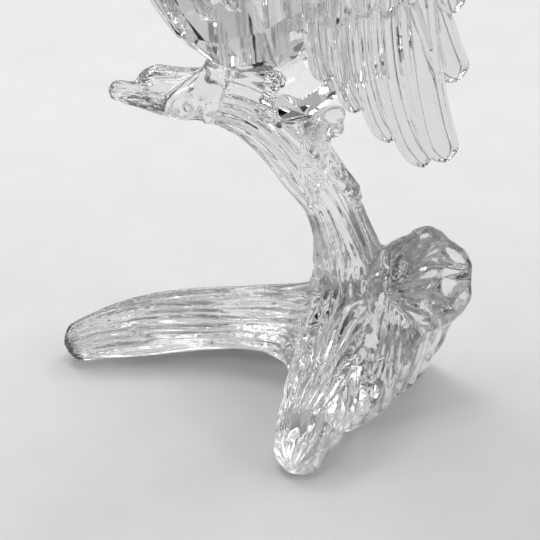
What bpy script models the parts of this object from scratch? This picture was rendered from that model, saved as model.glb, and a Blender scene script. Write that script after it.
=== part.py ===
"""Clear crystal eagle figurine: a facet-cut bird with layered glass wings,
propped on one moulded casting of branch, trunk, roots and a cut stump."""
import math

import bmesh
import bpy
import numpy as np
from mathutils import Matrix, Vector

MM = 0.001                      # every table below is in millimetres
GAP = 0.3                       # clearance between neighbouring pieces
CENTRE_SHIFT = (1.37, -3.40)    # moves the object's box centre onto the origin

# ---- branch, trunk and roots: (x, y, z, radius) down each limb ----------------
LEFT_TIP = (-36.6, 15.0, 4.0)   # rounded end of the long left root
FRONT_TIP = (5.3, -21.4, 3.4)   # end of the broad front root
STUMP_CENTRE = (29.0, -2.0, 27.9)
STUMP_FACING = (0.42, -0.72, 0.55)
STUMP_RADIUS = 9.3
STUMP_DISH = 1.3                # hollow in the stump's cut end
WALL_FOOT = (15.5, -10.5, 0.0)  # the buttress is sheared off flat from this line
WALL_FACING = (0.742, -0.506, -0.440)
STUMP_PROUD = 1.3               # the stump stands this far out from the sheared side

TRUNK = [(-19.5, 0.5, 64.2, 2.7), (-15.6, 1.0, 63.4, 3.5), (-9.4, 1.0, 62.6, 4.3),
         (-2.8, 1.2, 60.2, 5.2), (3.1, 1.5, 54.3, 5.5), (6.8, 2.0, 48.5, 5.3),
         (10.3, 2.5, 43.0, 4.7), (12.5, 3.0, 37.0, 4.8), (14.0, 4.0, 30.5, 5.7),
         (14.6, 5.0, 23.0, 6.8), (13.5, 5.0, 14.0, 7.4), (13.0, 5.0, 6.5, 7.0)]
SADDLE = [(-9.0, 0.6, 65.2, 2.2), (-3.5, 1.4, 64.8, 2.8), (1.6, 1.8, 64.0, 2.8),
          (4.5, 1.8, 60.5, 2.8)]
LEFT_ROOT = [(13.0, 7.0, 15.0, 6.6), (5.5, 13.0, 10.4, 6.2), (-4.0, 17.2, 8.0, 6.0),
             (-13.5, 18.4, 6.9, 5.7), (-23.0, 17.8, 5.9, 5.5), (-31.0, 16.4, 5.0, 4.7),
             LEFT_TIP + (3.5,)]
FRONT_ROOT = [(14.0, 3.0, 22.0, 5.8), (11.8, -3.5, 16.0, 6.0), (9.4, -9.0, 10.2, 6.2),
              (8.3, -14.0, 6.4, 6.3), FRONT_TIP + (4.7,)]
STUMP = [(16.0, 8.0, 9.0, 7.0), (20.5, 6.5, 16.0, 7.6), (24.8, 2.4, 22.4, 8.2),
         STUMP_CENTRE + (STUMP_RADIUS,)]
BUTTRESS = [(12.2, -6.6, 4.6, 6.0), (17.4, -1.6, 4.8, 6.4), (22.8, 5.6, 4.6, 6.4),
            (26.6, 11.2, 4.2, 5.0)]
WALL = [(21.4, 2.6, 20.0, 7.4), (26.2, 4.4, 14.5, 8.0), (25.8, 7.2, 7.0, 6.6)]
FLANK = [(20.5, -1.5, 22.0, 6.4), (23.5, -2.5, 15.5, 7.4), (21.0, -2.5, 8.0, 7.0)]
SHOULDER = [(21.5, -3.6, 26.0, 2.6), (24.5, -4.6, 21.5, 3.2), (25.5, -5.5, 16.0, 5.0),
            (23.0, -5.0, 9.0, 5.6), (19.5, -5.5, 4.5, 5.4)]
WEB = [(2.0, 16.5, 6.0, 5.0), (7.6, 9.5, 6.5, 5.3), (8.8, 2.0, 7.0, 5.6)]
BACK = [(17.0, 12.0, 6.0, 5.6), (10.0, 12.5, 6.0, 5.4)]
LOWER_PRONG = [(-15.0, -0.5, 62.2, 2.7), (-19.0, -1.2, 63.2, 2.4),
               (-23.2, -1.4, 64.4, 2.0), (-26.2, -1.4, 65.1, 1.7)]
UPPER_PRONG = [(-10.0, 0.8, 66.0, 1.9), (-15.0, 1.0, 66.4, 1.6),
               (-19.4, 1.0, 67.0, 1.8), (-21.6, 1.0, 66.1, 1.3)]
ANKLE = [(-9.3, -0.6, 65.0, 2.2), (-9.2, -0.6, 71.6, 1.5)]
TOES = [[(-9.8, -2.2, 68.4, 1.6), (-12.8, -3.4, 67.0, 1.5), (-16.0, -3.9, 64.9, 1.4),
         (-18.2, -3.7, 62.9, 1.1)],
        [(-9.6, -2.4, 68.2, 1.6), (-12.0, -4.1, 66.2, 1.5), (-13.8, -4.6, 63.8, 1.3),
         (-14.6, -4.0, 62.2, 1.0)],
        [(-9.3, -2.4, 68.0, 1.6), (-9.9, -4.5, 65.6, 1.5), (-10.5, -4.9, 62.8, 1.3),
         (-10.7, -4.3, 61.0, 1.0)]]
STUB = [(7.6, 0.0, 48.0, 2.4), (8.1, -2.0, 53.0, 2.2), (8.7, -2.2, 58.2, 1.8)]
STUB_KNOBS = [[(7.8, -2.6, 57.6, 1.3), (11.6, -2.8, 58.4, 1.2)],
              [(9.2, -1.6, 60.2, 1.3), (11.6, -1.8, 60.9, 1.4)]]
BARK_BUMP = [(11.6, 1.0, 47.4, 1.8), (14.6, 1.2, 43.8, 1.7), (14.4, 2.0, 40.4, 1.5)]

STRAND_COUNT = 6                # wood strands bundled round each thick limb
STRAND_REACH = 0.6              # strand centre and radius as shares of the limb's
STRAND_RADIUS = 0.45
CORE_RADIUS = 0.86
STRAND_TWIST = 0.35             # turns over the limb
BLEND = 0.5                     # softness of the joins between limbs
SWELL = 0.2                     # skin outside the limbs that the wood grain is cut in
EDGE_SOFTNESS = 0.45            # rounding where the stump and wall faces trim a limb
VOXEL = 0.6
BASE_TRIANGLES = 4500

# ---- bird ----------------------------------------------------------------------
BODY_CENTRE = (-7.8, 0.0, 93.4)
BIRD_TURN = 24.0                # degrees about the vertical; 0 faces straight to -X
BODY_AXES = (16.0, 15.2, 26.6)  # front-back, side-side, along the leaning axis
BODY_LEAN = 22.0
BODY_ROWS = [(0, 1), (18, 6), (34, 9), (50, 12), (66, 14), (82, 16), (98, 16),
             (114, 14), (130, 12), (146, 9), (162, 6), (180, 1)]
NECK_CENTRE = (-10.8, 0.0, 19.0)
NECK_AXES = (10.6, 10.0, 13.0)
HEAD_CENTRE = (-13.4, 0.0, 30.6)
HEAD_AXES = (8.6, 7.4, 7.6)
HEAD_ROWS = [(0, 1), (32, 6), (64, 9), (94, 10), (124, 8), (152, 5), (180, 1)]
BEAK = [(-18.4, 31.2, 4.4), (-22.4, 31.6, 3.8), (-25.6, 30.2, 2.7), (-27.0, 27.4, 1.5),
        (-26.8, 25.2, 0.7)]
BEAK_NARROWING = 0.72
TAIL_CENTRE = (16.0, -2.0, -28.6)
TAIL_AXES = (3.4, 7.0, 11.6)
TAIL_LEAN = -62.0
TAIL_ROWS = [(0, 1), (35, 6), (62, 8), (90, 8), (118, 8), (145, 6), (180, 1)]

# ---- wings: along the wing's sweep, then height above the floor ----------------
WING_ROOT = (9.6, -15.2)        # in the bird's own axes
WING_SWEEP = -6.0               # degrees from straight back
QUILL_TOP = 92.0
QUILL_HALF = 1.65               # half thickness of a long feather
QUILL_STAGGER = 0.12            # each long feather lies this much behind the last
RIM = 0.9                       # width of the bevel round a feather
QUILL_RINGS, COVERT_RINGS = 6, 3  # steps along a feather
QUILLS = [                      # sweep at root, bend and tip; tip height; width; taper
    (0.0, -0.2, 2.2, 70.7, 4.5, 1.2), (4.2, 3.7, 7.9, 64.1, 4.6, 1.5),
    (8.2, 7.6, 14.3, 57.5, 5.0, 1.5), (12.6, 12.4, 21.0, 51.6, 5.8, 1.5),
    (17.8, 19.8, 25.1, 51.9, 7.2, 1.0), (17.6, 22.6, 26.5, 67.2, 7.2, 0.7)]
COVERT_TAPER = 1.5              # widths over which a feather's leading side narrows
COVERT_ROWS = [
    (11.0, 1.75, [(-2.4, 80.3, 4.6), (3.6, 80.4, 6.4), (8.4, 82.0, 5.2),
                  (12.6, 82.0, 4.8), (16.6, 82.6, 5.0), (20.6, 83.4, 5.0),
                  (24.8, 80.2, 5.6)]),
    (10.0, 2.2, [(-5.2, 88.0, 5.6), (0.2, 88.6, 6.4), (6.0, 89.2, 6.2),
                 (11.4, 89.6, 5.8), (16.6, 89.4, 5.8), (21.6, 87.6, 5.6)]),
    (9.0, 2.6, [(-6.0, 94.6, 6.4), (0.4, 96.6, 6.8), (6.8, 97.4, 6.8),
                (13.0, 96.6, 6.6), (18.4, 93.6, 6.2)])]
FLAT_ANGLE = 1.0                # facets closer than this are one facet
COVERT_SLANT = 0.22             # how far a covert leans outward per unit of drop
COVERT_OVERLAP = 0.9            # each covert laps its neighbour by this much
COVERT_STAGGER = 0.1            # steps in depth between neighbouring coverts
WING_ARM = [(-13.0, 96.0, 3.0), (-10.5, 102.0, 3.8), (-4.5, 106.4, 4.1),
            (3.5, 108.4, 4.0), (11.5, 107.2, 3.7), (18.0, 103.0, 3.2),
            (22.6, 96.4, 2.6), (25.2, 89.6, 2.0)]


def material(name, colour):
    """One Principled material with a plain colour."""
    mat = bpy.data.materials.new(name)
    mat.use_nodes = True
    shader = mat.node_tree.nodes["Principled BSDF"]
    shader.inputs["Base Color"].default_value = colour + (1.0,)
    shader.inputs["Roughness"].default_value = 0.03
    shader.inputs["Transmission Weight"].default_value = 1.0
    shader.inputs["IOR"].default_value = 1.52
    return mat


def clear_scene():
    for obj in list(bpy.data.objects):
        bpy.data.objects.remove(obj, do_unlink=True)


def make_collection(name, hidden):
    coll = bpy.data.collections.new(name)
    bpy.context.scene.collection.children.link(coll)
    coll.hide_render = hidden
    return coll


def mesh_object(name, verts, faces, coll):
    """Mesh object from millimetre coordinates."""
    mesh = bpy.data.meshes.new(name)
    mesh.from_pydata([tuple(float(c) * MM for c in v) for v in verts], [], faces)
    mesh.update()
    obj = bpy.data.objects.new(name, mesh)
    coll.objects.link(obj)
    return obj


def drop(obj):
    bpy.data.objects.remove(obj, do_unlink=True)


def evaluated(obj):
    """Bake the modifiers of obj into its mesh."""
    graph = bpy.context.evaluated_depsgraph_get()
    mesh = bpy.data.meshes.new_from_object(obj.evaluated_get(graph))
    obj.modifiers.clear()
    obj.data = mesh
    return obj


def boolean(target, cutter, operation):
    mod = target.modifiers.new(operation.title(), "BOOLEAN")
    mod.operation = operation
    mod.solver = "EXACT"
    mod.object = cutter
    evaluated(target)
    drop(cutter)
    return target


def clean_up(obj, distance):
    """Weld, drop slivers and point every face outward."""
    bm = bmesh.new()
    bm.from_mesh(obj.data)
    bmesh.ops.remove_doubles(bm, verts=bm.verts, dist=distance * MM)
    bmesh.ops.dissolve_degenerate(bm, dist=distance * MM, edges=bm.edges)
    bmesh.ops.triangulate(bm, faces=bm.faces)
    bmesh.ops.recalc_face_normals(bm, faces=bm.faces)
    bm.to_mesh(obj.data)
    bm.free()
    return obj


# ---- cut crystal ----------------------------------------------------------------
def lean_matrix(degrees):
    """Turn about the side-to-side axis; positive leans the top forward to -X."""
    return Matrix.Rotation(math.radians(-degrees), 3, "Y")


def facet_planes(centre, axes, rows, lean, grow):
    """Cutting planes of a gem: rows of facets from pole to pole of an egg."""
    turn = lean_matrix(lean)
    planes = []
    for index, (polar, count) in enumerate(rows):
        for k in range(count):
            around = 2.0 * math.pi * (k + 0.5 * (index % 2)) / count
            tilt = math.radians(polar)
            normal = Vector((math.sin(tilt) * math.cos(around),
                             math.sin(tilt) * math.sin(around), math.cos(tilt)))
            reach = math.sqrt(sum((n * a) ** 2 for n, a in zip(normal, axes))) + grow
            out = turn @ normal
            planes.append((Vector(centre) + out * reach, out))
    return planes


def gem(name, planes, centre, size, coll):
    """Cube of the given size cut back to every plane in turn."""
    bm = bmesh.new()
    bmesh.ops.create_cube(bm, size=size)
    bmesh.ops.translate(bm, verts=bm.verts, vec=Vector(centre))
    for point, normal in planes:
        cut = bmesh.ops.bisect_plane(bm, geom=bm.verts[:] + bm.edges[:] + bm.faces[:],
                                     dist=1e-5, plane_co=point, plane_no=normal,
                                     clear_outer=True)
        edges = [e for e in cut["geom_cut"] if isinstance(e, bmesh.types.BMEdge)]
        if len(edges) > 2:
            bmesh.ops.edgeloop_fill(bm, edges=edges)
    bmesh.ops.remove_doubles(bm, verts=bm.verts, dist=0.05)
    bmesh.ops.dissolve_degenerate(bm, dist=0.02, edges=bm.edges)
    bmesh.ops.recalc_face_normals(bm, faces=bm.faces)
    bmesh.ops.scale(bm, vec=(MM, MM, MM), verts=bm.verts)
    mesh = bpy.data.meshes.new(name)
    bm.to_mesh(mesh)
    bm.free()
    obj = bpy.data.objects.new(name, mesh)
    coll.objects.link(obj)
    return obj


def body_gem(name, grow, coll):
    planes = facet_planes((0, 0, 0), BODY_AXES, BODY_ROWS, BODY_LEAN, grow)
    return gem(name, planes, (0, 0, 0), 90.0, coll)


def tail_gem(name, grow, coll):
    planes = facet_planes(TAIL_CENTRE, TAIL_AXES, TAIL_ROWS, TAIL_LEAN, grow)
    return gem(name, planes, TAIL_CENTRE, 40.0, coll)


def beak_curve(name, coll):
    """Hooked beak: a tapering tube bent down at the tip, narrower than it is deep."""
    beak = tubes(name, [np.array([(x, 0, z, r) for x, z, r in BEAK])], 1, coll)
    beak.data.transform(Matrix.Diagonal((1, BEAK_NARROWING, 1, 1)))
    return beak


def build_body(coll, cutters):
    """Body, neck, head and beak: one piece of cut crystal."""
    body = body_gem("body", 0.0, coll)
    neck = gem("neck", facet_planes(NECK_CENTRE, NECK_AXES, HEAD_ROWS, 30.0, 0.0),
               NECK_CENTRE, 50.0, cutters)
    head = gem("head", facet_planes(HEAD_CENTRE, HEAD_AXES, HEAD_ROWS, 75.0, 0.0),
               HEAD_CENTRE, 40.0, cutters)
    for piece in (neck, head, beak_curve("beak", cutters)):
        boolean(body, piece, "UNION")
    return clean_up(body, 0.02)


# ---- limbs ----------------------------------------------------------------------
def resample(points, step):
    """Catmull-Rom curve through (x, y, z, r) points."""
    pts = np.array(points, float)
    pts = np.vstack([2 * pts[0] - pts[1], pts, 2 * pts[-1] - pts[-2]])
    pts[:, 3] = np.maximum(pts[:, 3], 0.4)
    out = []
    for i in range(1, len(pts) - 2):
        a, b, c, d = pts[i - 1:i + 3]
        count = max(2, int(np.linalg.norm(c[:3] - b[:3]) / step))
        for t in np.arange(count) / count:
            out.append(0.5 * (2 * b + (c - a) * t + (2 * a - 5 * b + 4 * c - d) * t * t
                              + (3 * b - a - 3 * c + d) * t ** 3))
    out.append(pts[-2])
    return np.array(out)


def side_frames(line):
    """Two side vectors at each point, carried along without twisting."""
    tangent = np.gradient(line[:, :3], axis=0)
    tangent /= np.linalg.norm(tangent, axis=1)[:, None]
    side = np.cross(tangent[0], (0.31, 0.83, 0.46))
    first, second = [], []
    for t in tangent:
        side = side - t * (side @ t)
        side /= np.linalg.norm(side)
        first.append(side)
        second.append(np.cross(t, side))
    return tangent, np.array(first), np.array(second)


def strands(points, count, start):
    """Thinner strands winding round a limb."""
    line = resample(points, 2.5)
    _, first, second = side_frames(line)
    turn = np.linspace(0, 2 * math.pi * STRAND_TWIST, len(line))
    out = []
    for k in range(count):
        angle = start + 2 * math.pi * k / count + turn
        off = (np.cos(angle)[:, None] * first + np.sin(angle)[:, None] * second)
        off *= STRAND_REACH * line[:, 3:4]
        out.append(np.hstack([line[:, :3] + off, STRAND_RADIUS * line[:, 3:4]]))
    return out


def limb_lines():
    """Every limb as a fine line of (x, y, z, r), with the faces that trim it."""
    thick = [(TRUNK, ()), (LEFT_ROOT, ()), (FRONT_ROOT, ()), (BACK, ()), (WEB, ()),
             (BUTTRESS, (wall_face,)), (WALL, (wall_face,)), (FLANK, (wall_face,)),
             (STUMP, (stump_face, stump_side)), (SHOULDER, (wall_face,))]
    thin = [SADDLE, LOWER_PRONG, UPPER_PRONG, ANKLE, STUB, BARK_BUMP]
    limbs = []
    for n, (points, faces) in enumerate(thick):
        core = [p[:3] + (p[3] * CORE_RADIUS,) for p in points]
        limbs.append((resample(core, 2.5), faces))
        for strand in strands(points, STRAND_COUNT, 0.5 * n):
            limbs.append((strand, faces))
    for points in thin + TOES + STUB_KNOBS:
        limbs.append((resample(points, 1.5), ()))
    return limbs


def rounded(line, round_end):
    """The line with a hemisphere of extra points at its start, and maybe its end."""
    tangent, _, _ = side_frames(line)
    start, end = [], []
    for share in (0.25, 0.7, 0.95):
        lift = math.sqrt(1 - share * share)
        start.append(np.append(line[0, :3] - tangent[0] * line[0, 3] * lift,
                               line[0, 3] * share))
        end.insert(0, np.append(line[-1, :3] + tangent[-1] * line[-1, 3] * lift,
                                line[-1, 3] * share))
    return np.vstack([start, line] + ([end] if round_end else []))


def tubes(name, lines, resolution, coll):
    """One mesh of closed tapering tubes, a bevelled curve along each line."""
    curve = bpy.data.curves.new(name, "CURVE")
    curve.dimensions = "3D"
    curve.bevel_depth = MM
    curve.bevel_resolution = resolution
    curve.use_fill_caps = True
    for line in lines:
        spline = curve.splines.new("POLY")
        spline.points.add(len(line) - 1)
        for point, (x, y, z, radius) in zip(spline.points, line):
            point.co = (x * MM, y * MM, z * MM, 1.0)
            point.radius = radius
    made = bpy.data.objects.new(name, curve)
    coll.objects.link(made)
    graph = bpy.context.evaluated_depsgraph_get()
    mesh = bpy.data.meshes.new_from_object(made.evaluated_get(graph))
    drop(made)
    obj = bpy.data.objects.new(name, mesh)
    coll.objects.link(obj)
    return clean_up(obj, 0.001)


def distance_to_line(points, line):
    """Distance from each point to a round-ended limb, and the way out of it."""
    a, b = line[:-1], line[1:]
    run = b[:, :3] - a[:, :3]
    rel = points[:, None, :] - a[None, :, :3]
    t = np.clip((rel * run).sum(2) / (run * run).sum(1), 0, 1)
    away = rel - t[..., None] * run
    size = np.sqrt((away * away).sum(2)) + 1e-9
    dist = size - (a[:, 3] + t * (b[:, 3] - a[:, 3]))
    best = dist.argmin(1)
    rows = np.arange(len(points))
    return dist[rows, best], away[rows, best] / size[rows, best][:, None]


def stump_face(points):
    """Height above the stump's dished cut end, and the way it faces."""
    facing = np.array(STUMP_FACING) / np.linalg.norm(STUMP_FACING)
    rel = points - np.array(STUMP_CENTRE)
    height = rel @ facing
    across = np.linalg.norm(rel - height[:, None] * facing, axis=1)
    return height + STUMP_DISH * np.exp(-(across / (0.62 * STUMP_RADIUS)) ** 4), facing


def wall_face(points):
    """Height above the sheared flat side of the buttress."""
    facing = np.array(WALL_FACING) / np.linalg.norm(WALL_FACING)
    return (points - np.array(WALL_FOOT)) @ facing, facing


def stump_side(points):
    """Height above the flat down the stump's side, level with the sheared buttress."""
    height, facing = wall_face(points)
    return height - STUMP_PROUD, facing


def field(points, limbs):
    """Smooth union of all limbs: signed distance and outward direction."""
    total = np.zeros(len(points))
    push = np.zeros((len(points), 3))
    low, high = points.min(0) - 5.0, points.max(0) + 5.0
    for line, faces in limbs:
        reach = line[:, 3:4]
        if ((line[:, :3] + reach).max(0) < low).any():
            continue
        if ((line[:, :3] - reach).min(0) > high).any():
            continue
        dist, out = distance_to_line(points, line)
        for face in faces:
            height, facing = face(points)
            over = np.exp(np.clip((height - dist) / EDGE_SOFTNESS, -40, 40))
            swap = over / (1.0 + over)
            dist = dist + EDGE_SOFTNESS * np.log(1.0 + over)
            out = out * (1 - swap)[:, None] + facing * swap[:, None]
        weight = np.exp(np.clip(-dist / BLEND, -60, 60))
        total += weight
        push += weight[:, None] * out
    total = np.maximum(total, 1e-30)
    return -BLEND * np.log(total) - SWELL, push / total[:, None]


def settle(verts, limbs, rounds):
    """Move every vertex onto the surface of the smooth union."""
    cells = np.floor(verts / 7.0).astype(int)
    _, group = np.unique(cells, axis=0, return_inverse=True)
    group = group.ravel()
    order = np.argsort(group, kind="stable")
    for part in np.split(order, np.flatnonzero(np.diff(group[order])) + 1):
        spot = verts[part]
        for _ in range(rounds):
            dist, out = field(spot, limbs)
            size = np.maximum((out * out).sum(1), 0.15)
            step = np.clip(dist / size, -0.8, 0.8)
            spot = spot - out * step[:, None]
        verts[part] = spot
    return verts


def build_base(coll, cutters):
    """Branch, trunk, roots, stump and moulded claws: one casting."""
    limbs = limb_lines()
    lines = [rounded(line, stump_face not in faces) for line, faces in limbs]
    base = tubes("branch_base", lines, 3, coll)
    for rounds in (8, 2):
        remesh = base.modifiers.new("Remesh", "REMESH")
        remesh.mode = "VOXEL"
        remesh.voxel_size = VOXEL * MM
        evaluated(base)
        spots = np.array([v.co[:] for v in base.data.vertices]) / MM
        spots = settle(spots, limbs, rounds)
        base.data.vertices.foreach_set("co", (spots * MM).ravel())
        base.data.update()
    mend(base)
    below = gem("below_floor", [], (0, 0, -100), 200.0, cutters)
    boolean(base, below, "DIFFERENCE")
    for room in (body_gem("body_room", GAP, cutters), tail_gem("tail_room", GAP, cutters)):
        room.data.transform(bird_matrix())
        boolean(base, room, "DIFFERENCE")
    keep_largest(mend(clean_up(base, 0.02)))
    thin = base.modifiers.new("Decimate", "DECIMATE")
    thin.ratio = BASE_TRIANGLES / len(base.data.polygons)
    mend(evaluated(base))
    for vert in base.data.vertices:
        if vert.co.z < 0.06 * MM:
            vert.co.z = 0.0
    return base


def mend(obj):
    """Where the skin meets itself, take that patch out and close it again."""
    bm = bmesh.new()
    bm.from_mesh(obj.data)
    for _ in range(8):
        bad = [v for v in bm.verts if not v.is_manifold or v.is_boundary]
        if not bad:
            break
        bmesh.ops.delete(bm, geom=bad, context="VERTS")
        rim = [e for e in bm.edges if e.is_boundary]
        bmesh.ops.holes_fill(bm, edges=rim, sides=0)
        bmesh.ops.triangulate(bm, faces=[f for f in bm.faces if len(f.verts) > 3])
    bmesh.ops.recalc_face_normals(bm, faces=bm.faces)
    bm.to_mesh(obj.data)
    bm.free()
    return obj


def merge_flat(obj):
    """Join the slivers of each flat facet and split it again plainly."""
    bm = bmesh.new()
    bm.from_mesh(obj.data)
    bmesh.ops.dissolve_limit(bm, angle_limit=math.radians(FLAT_ANGLE), verts=bm.verts,
                             edges=bm.edges)
    bmesh.ops.triangulate(bm, faces=bm.faces)
    bm.to_mesh(obj.data)
    bm.free()


def keep_largest(obj):
    """Drop loose scraps left by cutting."""
    bm = bmesh.new()
    bm.from_mesh(obj.data)
    seen, islands = set(), []
    for vert in bm.verts:
        if vert in seen:
            continue
        seen.add(vert)
        island, queue = [vert], [vert]
        while queue:
            for edge in queue.pop().link_edges:
                for other in edge.verts:
                    if other not in seen:
                        seen.add(other)
                        island.append(other)
                        queue.append(other)
        islands.append(island)
    islands.sort(key=len)
    for island in islands[:-1]:
        bmesh.ops.delete(bm, geom=island, context="VERTS")
    bm.to_mesh(obj.data)
    bm.free()


# ---- wings ----------------------------------------------------------------------
def bird_matrix():
    """Bird axes to the object's, in metres."""
    return (Matrix.Translation(Vector(BODY_CENTRE) * MM)
            @ Matrix.Rotation(math.radians(BIRD_TURN), 4, "Z"))


def wing_point(sweep, height, off):
    """Wing coordinates to the bird's own axes; off is outward from the body."""
    a = math.radians(WING_SWEEP)
    x = WING_ROOT[0] + sweep * math.cos(a) + off * math.sin(a)
    y = WING_ROOT[1] + sweep * math.sin(a) - off * math.cos(a)
    return (x, y, height - BODY_CENTRE[2])


def blade(root, bend, tip, width, taper, half, off, rings):
    """Feather: a bevelled flat blade along a curve, its tip swept outward."""
    verts, faces = [], []
    long_left, long_right = taper * width, 0.5 * width
    length = (Vector(tip) - Vector(root)).length
    for i in range(rings + 1):
        t = 1 - (1 - i / rings) ** 1.6
        s = (1 - t) * length
        left = 0.5 * width * math.sqrt(max(0.1, 1 - max(0, 1 - s / long_left) ** 2))
        right = 0.5 * width * math.sqrt(max(0.1, 1 - max(0, 1 - s / long_right) ** 2))
        c = [(1 - t) ** 2 * root[k] + 2 * t * (1 - t) * bend[k] + t * t * tip[k]
             for k in (0, 1)]
        d = Vector([(1 - t) * (bend[k] - root[k]) + t * (tip[k] - bend[k])
                    for k in (0, 1)]).normalized()
        across = Vector((-d[1], d[0]))
        depth = half * (0.6 + 0.4 * min(1.0, s / width))
        rim = min(RIM, 0.6 * min(left, right))
        spots = [(-left, 0), (-left + rim, depth), (right - rim, depth), (right, 0),
                 (right - rim, -depth), (-left + rim, -depth)]
        for u, v in spots:
            verts.append(wing_point(c[0] + across[0] * u, c[1] + across[1] * u,
                                    off + v))
    for i in range(rings):
        for k in range(6):
            a, b = 6 * i + k, 6 * i + (k + 1) % 6
            faces.append((a, b, b + 6, a + 6))
    faces.append(tuple(range(5, -1, -1)))
    faces.append(tuple(range(6 * rings, 6 * rings + 6)))
    return verts, faces


def wing_blades():
    """Every feather of one wing, long ones first."""
    out = []
    for n, (root, bend, tip, height, width, taper) in enumerate(QUILLS):
        bend_height = height + 0.32 * (QUILL_TOP - height)
        out.append(blade((root, QUILL_TOP), (bend, bend_height), (tip, height), width,
                         taper, QUILL_HALF, -QUILL_STAGGER * n, QUILL_RINGS))
    for length, half, row in COVERT_ROWS:
        for n, (tip, height, width) in enumerate(row):
            lean = COVERT_SLANT * length * (0.3 + 0.7 * n / len(row))
            out.append(blade((tip - lean, height + length),
                             (tip - 0.7 * lean, height + 0.4 * length),
                             (tip, height), width + COVERT_OVERLAP, COVERT_TAPER, half,
                             COVERT_STAGGER * (n % 3), COVERT_RINGS))
    return out


def wing_arm(coll):
    """Rounded top edge from the shoulder over the wrist and down the back."""
    points = [wing_point(sweep, height, 0.0) + (r,) for sweep, height, r in WING_ARM]
    line = rounded(resample(points, 3.0), True)
    return tubes("left_wing", [line], 2, coll)


def build_wings(coll, cutters):
    """Layered feathers fused into one solid, its mirror image on the far side."""
    wing = wing_arm(cutters)
    for verts, faces in wing_blades():
        feather = clean_up(mesh_object("feather", verts, faces, cutters), 0.01)
        boolean(wing, feather, "UNION")
        clean_up(wing, 0.002)
    merge_flat(wing)
    far = bpy.data.objects.new("right_wing", wing.data.copy())
    cutters.objects.link(far)
    far.data.transform(Matrix.Scale(-1, 4, (0, 1, 0)))
    far.data.flip_normals()
    for obj in (wing, far):
        boolean(obj, body_gem("wing_room", GAP, cutters), "DIFFERENCE")
        keep_largest(clean_up(obj, 0.002))
        cutters.objects.unlink(obj)
        coll.objects.link(obj)
    wing.name = "left_wing"
    return wing, far


def main():
    clear_scene()
    parts = make_collection("crystal_eagle", False)
    cutters = make_collection("cutters", True)
    pose = bpy.data.objects.new("bird_pose", None)
    pose.location = [(c + s) * MM for c, s in zip(BODY_CENTRE, CENTRE_SHIFT + (0.0,))]
    pose.rotation_euler = (0, 0, math.radians(BIRD_TURN))
    parts.objects.link(pose)
    base = build_base(parts, cutters)
    base.location = (CENTRE_SHIFT[0] * MM, CENTRE_SHIFT[1] * MM, 0)
    body = build_body(parts, cutters)
    tail = tail_gem("tail", 0.0, parts)
    boolean(tail, body_gem("tail_gap", GAP, cutters), "DIFFERENCE")
    clean_up(tail, 0.02)
    near, far = build_wings(parts, cutters)
    tints = {"branch_base": (0.80, 0.84, 0.86), "body": (0.88, 0.90, 0.92),
             "tail": (0.84, 0.88, 0.90), "left_wing": (0.82, 0.87, 0.90),
             "right_wing": (0.82, 0.87, 0.90)}
    for obj in (base, body, tail, near, far):
        obj.data.materials.clear()
        obj.data.materials.append(material(obj.name + "_crystal", tints[obj.name]))
        if obj is not base:
            obj.parent = pose


main()
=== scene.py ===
"""Looks for the clear crystal eagle: the wood grain moulded into its branch and roots,
the bevelled feathers, the polished crystal, and the pale table that it stands on."""
import math

import bmesh
import bpy
import numpy as np
from mathutils import Matrix, Vector, noise
from mathutils.bvhtree import BVHTree


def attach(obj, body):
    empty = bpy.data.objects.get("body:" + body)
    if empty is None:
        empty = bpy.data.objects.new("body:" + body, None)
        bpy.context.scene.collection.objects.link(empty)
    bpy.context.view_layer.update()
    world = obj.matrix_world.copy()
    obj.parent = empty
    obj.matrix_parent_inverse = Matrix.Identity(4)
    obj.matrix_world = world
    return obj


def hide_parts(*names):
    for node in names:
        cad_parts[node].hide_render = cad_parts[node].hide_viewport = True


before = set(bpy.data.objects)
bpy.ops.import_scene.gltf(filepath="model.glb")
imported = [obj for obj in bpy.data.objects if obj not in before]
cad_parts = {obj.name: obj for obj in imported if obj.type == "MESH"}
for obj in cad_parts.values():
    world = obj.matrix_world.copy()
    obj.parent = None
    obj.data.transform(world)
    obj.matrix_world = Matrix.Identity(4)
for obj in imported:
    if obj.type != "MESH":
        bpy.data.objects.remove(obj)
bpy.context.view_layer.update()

MM = 0.001                      # every table below is in millimetres
SHIFT = np.array((1.37, -3.40, 0.0))    # modelling axes to the object's
GAP = 0.3                       # between the body and each wing
BIRD = ("body", "tail")         # CAD nodes that keep their own form
CAD_WELD = 1e-7                 # metres
WELD = 0.001                    # points closer than this become one
LINE_STEP = 1.5                 # spacing of the points along a limb
CAP_RINGS = (0.2, 0.45, 0.7, 0.88, 0.97)    # radii of a tube's rounded end, as shares

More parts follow.
